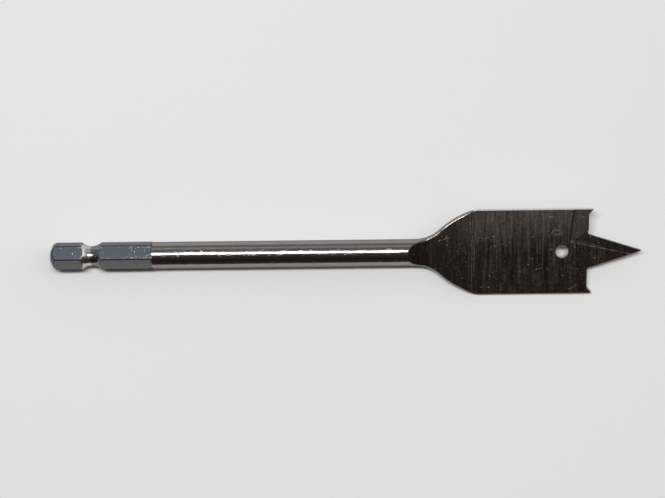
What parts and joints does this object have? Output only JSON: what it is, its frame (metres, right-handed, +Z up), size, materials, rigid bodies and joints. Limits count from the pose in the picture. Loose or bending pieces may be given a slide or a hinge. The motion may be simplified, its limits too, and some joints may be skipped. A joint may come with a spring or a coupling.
{
  "type": "spade drill bit",
  "caption": "Flat wood-boring bit with a hex drive shank, locking groove, round shank, flared neck, flat blade with a hole, hook-ground cutting lips, edge spurs and a centre point.",
  "frame": {"origin": "on the axis of the bit, at the end face of the hex shank", "axes": "+X along the axis from the hex end to the point, +Z up as the bit lies at rest on one side of its blade, +Y towards the raised side of the blade"},
  "size_m": [0.152, 0.0218, 0.007],
  "materials": {
    "dark_steel": "dark oxidised steel: polished shank, ground blade with fine cross scratches"
  },
  "bodies": {
    "root": {"spade_bit": "dark_steel"}
  },
  "joints": []
}
